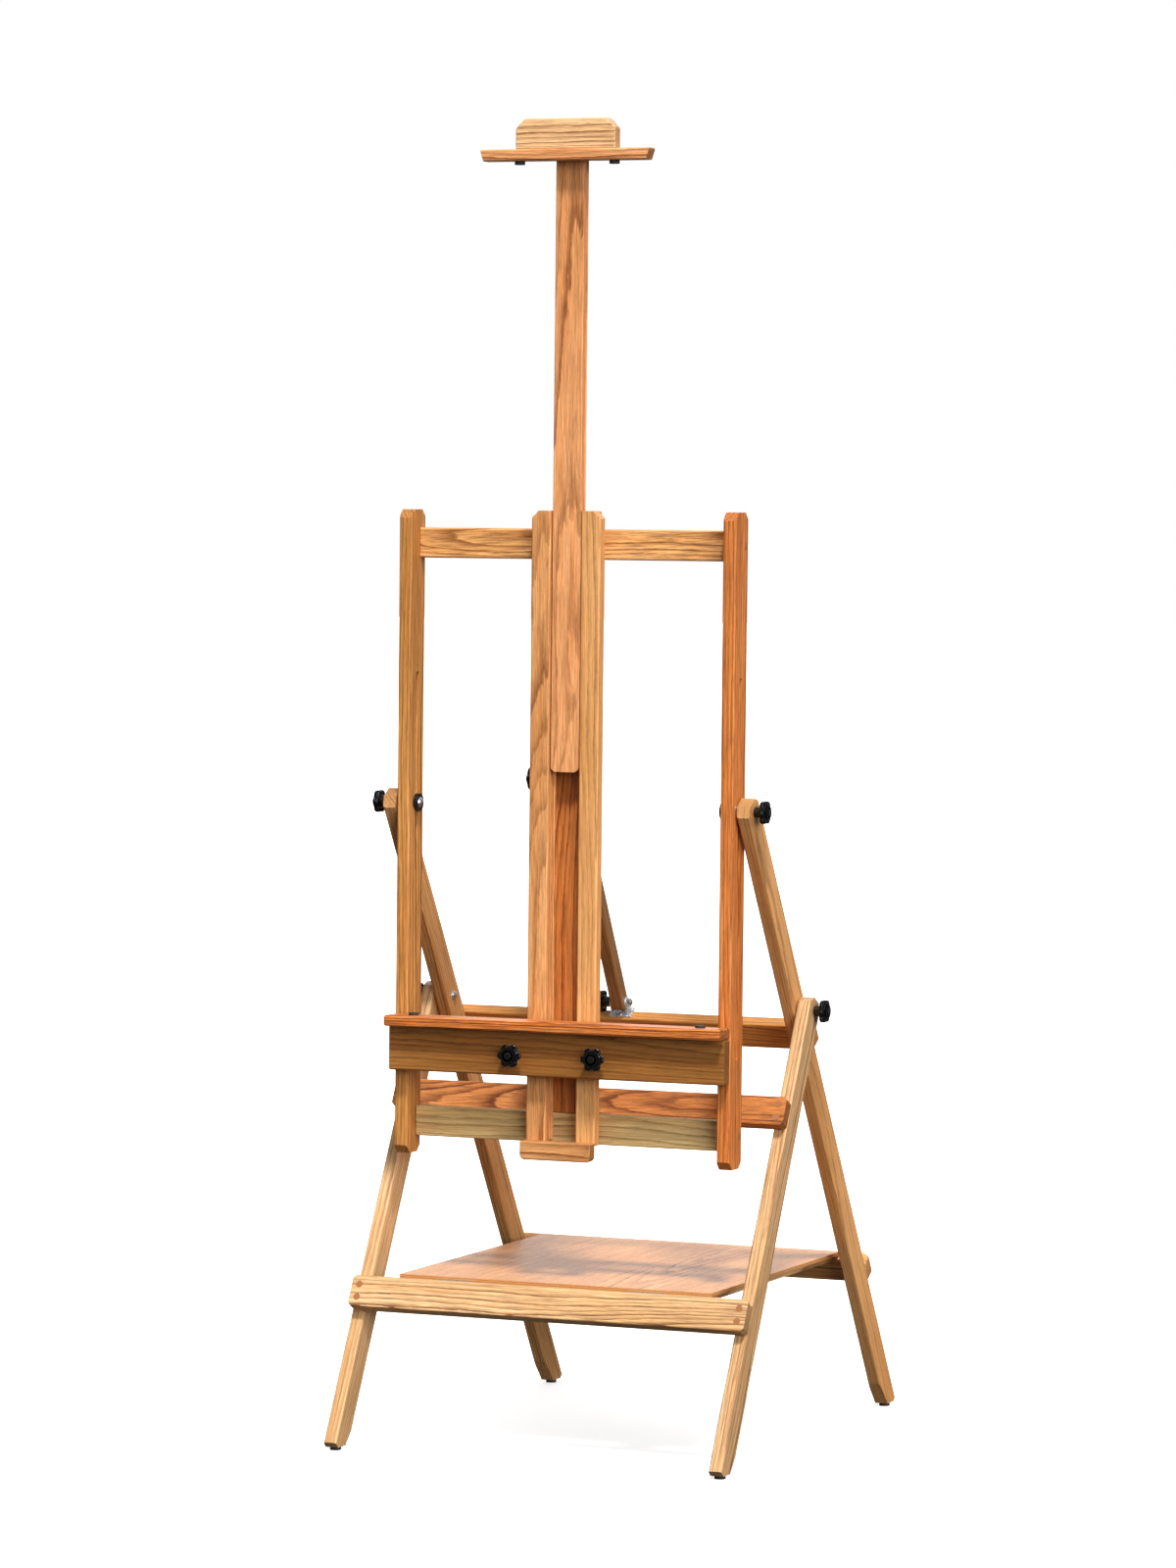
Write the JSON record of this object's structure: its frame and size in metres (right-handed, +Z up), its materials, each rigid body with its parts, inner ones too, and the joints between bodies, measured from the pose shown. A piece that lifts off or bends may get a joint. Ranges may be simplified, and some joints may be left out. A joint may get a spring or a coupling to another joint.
{
  "type": "artist easel",
  "caption": "Folding wooden artist easel with a tilting slotted panel, sliding mast with top holder, sliding tray and lift-up shelf.",
  "frame": {"origin": "centre of the bounding box, on the floor", "axes": "+X to the viewer's right, +Y to the back, +Z up along the mast"},
  "size_m": [0.6586, 0.7964, 1.915],
  "materials": {
    "oak": "oiled, satin",
    "oak_dark": "oiled, satin",
    "oak_red": "oiled, satin",
    "oak_light": "oiled, satin",
    "zinc": "zinc plated, satin",
    "brass": "plain",
    "plastic": "moulded, semi-matt",
    "rubber": "matt"
  },
  "bodies": {
    "stand": {"rear_leg_left": "oak", "rear_leg_right": "oak", "rear_upper_rail": "oak_dark", "rear_lower_rail": "oak_dark", "rear_feet": "rubber", "stay_bracket": "zinc", "bracket_screws": "zinc", "leg_bolts": "zinc", "leg_washers": "zinc"},
    "front_frame": {"front_leg_left": "oak", "front_leg_right": "oak", "front_upper_rail": "oak_red", "front_lower_rail": "oak_red", "front_feet": "rubber", "rail_plugs": "oak_light", "rail_hinge_leaves": "zinc"},
    "shelf": {"shelf_panel": "oak_light", "shelf_battens": "oak", "shelf_hinge_leaves": "zinc"},
    "trunnion": {"wing_bolts": "zinc", "wing_washers": "plastic", "wing_spacers": "zinc"},
    "panel": {"wing_post_left": "oak", "wing_post_right": "oak", "top_crossbar": "oak", "bottom_crossbar": "oak", "centre_post_left": "oak", "centre_post_right": "oak", "guide_tongues": "oak_light", "spine": "oak_red", "foot_block": "oak_light", "tilt_cheek": "oak_red", "post_plugs": "oak_light", "mast_lock_insert": "brass"},
    "mast": {"mast": "oak", "holder_board": "oak_light", "holder_bar": "oak_light", "holder_bumpers": "rubber"},
    "tray": {"tray_apron": "oak_dark", "tray_ledge": "oak_red", "tray_bumpers": "rubber", "tray_clamps": "zinc"},
    "stay": {"stay_strut": "oak_dark", "stay_bolts": "zinc", "stay_collar": "plastic", "stay_nut": "zinc"},
    "leg_knob_left": {"leg_knob_left": "plastic"},
    "leg_knob_right": {"leg_knob_right": "plastic"},
    "wing_knob_left": {"wing_knob_left": "plastic"},
    "wing_knob_right": {"wing_knob_right": "plastic"},
    "tray_knob_left": {"tray_knob_left": "plastic"},
    "tray_knob_right": {"tray_knob_right": "plastic"},
    "mast_lock_knob": {"mast_lock_knob": "plastic"},
    "stay_knob_lower": {"stay_knob_lower": "plastic"},
    "stay_knob_upper": {"stay_knob_upper": "plastic"}
  },
  "joints": [
    {"name": "frame_fold", "type": "hinge", "parent": "stand", "child": "front_frame", "pos_m": [0, -0.03997, 0.6344], "axis": [1, 0, 0], "range_deg": [0, 61.5]},
    {"name": "shelf_tip", "type": "hinge", "parent": "front_frame", "child": "shelf", "pos_m": [0, -0.27559, 0.23589], "axis": [1, 0, 0], "range_deg": [0, 48]},
    {"name": "panel_tilt", "type": "hinge", "parent": "stand", "child": "trunnion", "pos_m": [0, -0.23609, 0.9307], "axis": [-1, 0, 0], "range_deg": [-3, 30]},
    {"name": "panel_height", "type": "slide", "parent": "trunnion", "child": "panel", "axis": [0, 0, 1], "range_m": [-0.09, 0.3]},
    {"name": "mast_height", "type": "slide", "parent": "panel", "child": "mast", "axis": [0, 0, 1], "range_m": [-0.49, 0.25]},
    {"name": "tray_height", "type": "slide", "parent": "panel", "child": "tray", "axis": [0, 0, 1], "range_m": [-0.09, 0.6]},
    {"name": "stay_swing", "type": "hinge", "parent": "stand", "child": "stay", "pos_m": [0, 0.00551, 0.63092], "axis": [-1, 0, 0], "range_deg": [-0.7, 6.4]},
    {"name": "leg_knob_left_turn", "type": "hinge", "parent": "stand", "child": "leg_knob_left", "pos_m": [0, -0.03997, 0.6344], "axis": [1, 0, 0], "continuous": true},
    {"name": "leg_knob_right_turn", "type": "hinge", "parent": "stand", "child": "leg_knob_right", "pos_m": [0, -0.03997, 0.6344], "axis": [1, 0, 0], "continuous": true},
    {"name": "wing_knob_left_turn", "type": "hinge", "parent": "trunnion", "child": "wing_knob_left", "pos_m": [0, -0.23609, 0.9307], "axis": [1, 0, 0], "continuous": true},
    {"name": "wing_knob_right_turn", "type": "hinge", "parent": "trunnion", "child": "wing_knob_right", "pos_m": [0, -0.23609, 0.9307], "axis": [1, 0, 0], "continuous": true},
    {"name": "tray_knob_left_turn", "type": "hinge", "parent": "tray", "child": "tray_knob_left", "pos_m": [-0.0645, -0.26109, 0.5735], "axis": [0, 1, 0], "continuous": true},
    {"name": "tray_knob_right_turn", "type": "hinge", "parent": "tray", "child": "tray_knob_right", "pos_m": [0.0645, -0.26109, 0.5735], "axis": [0, 1, 0], "continuous": true},
    {"name": "mast_lock_knob_turn", "type": "hinge", "parent": "panel", "child": "mast_lock_knob", "pos_m": [0, -0.21109, 1.308], "axis": [0, 1, 0], "continuous": true},
    {"name": "stay_knob_lower_turn", "type": "hinge", "parent": "stay", "child": "stay_knob_lower", "pos_m": [0, 0.00551, 0.63092], "axis": [1, 0, 0], "continuous": true},
    {"name": "stay_knob_upper_turn", "type": "hinge", "parent": "stay", "child": "stay_knob_upper", "pos_m": [0, -0.19009, 0.968], "axis": [1, 0, 0], "continuous": true}
  ],
  "couplings": [
    {"joint": "shelf_tip", "follows": "frame_fold", "ratio": 0.77},
    {"joint": "stay_swing", "follows": "panel_tilt", "ratio": 0.21}
  ]
}
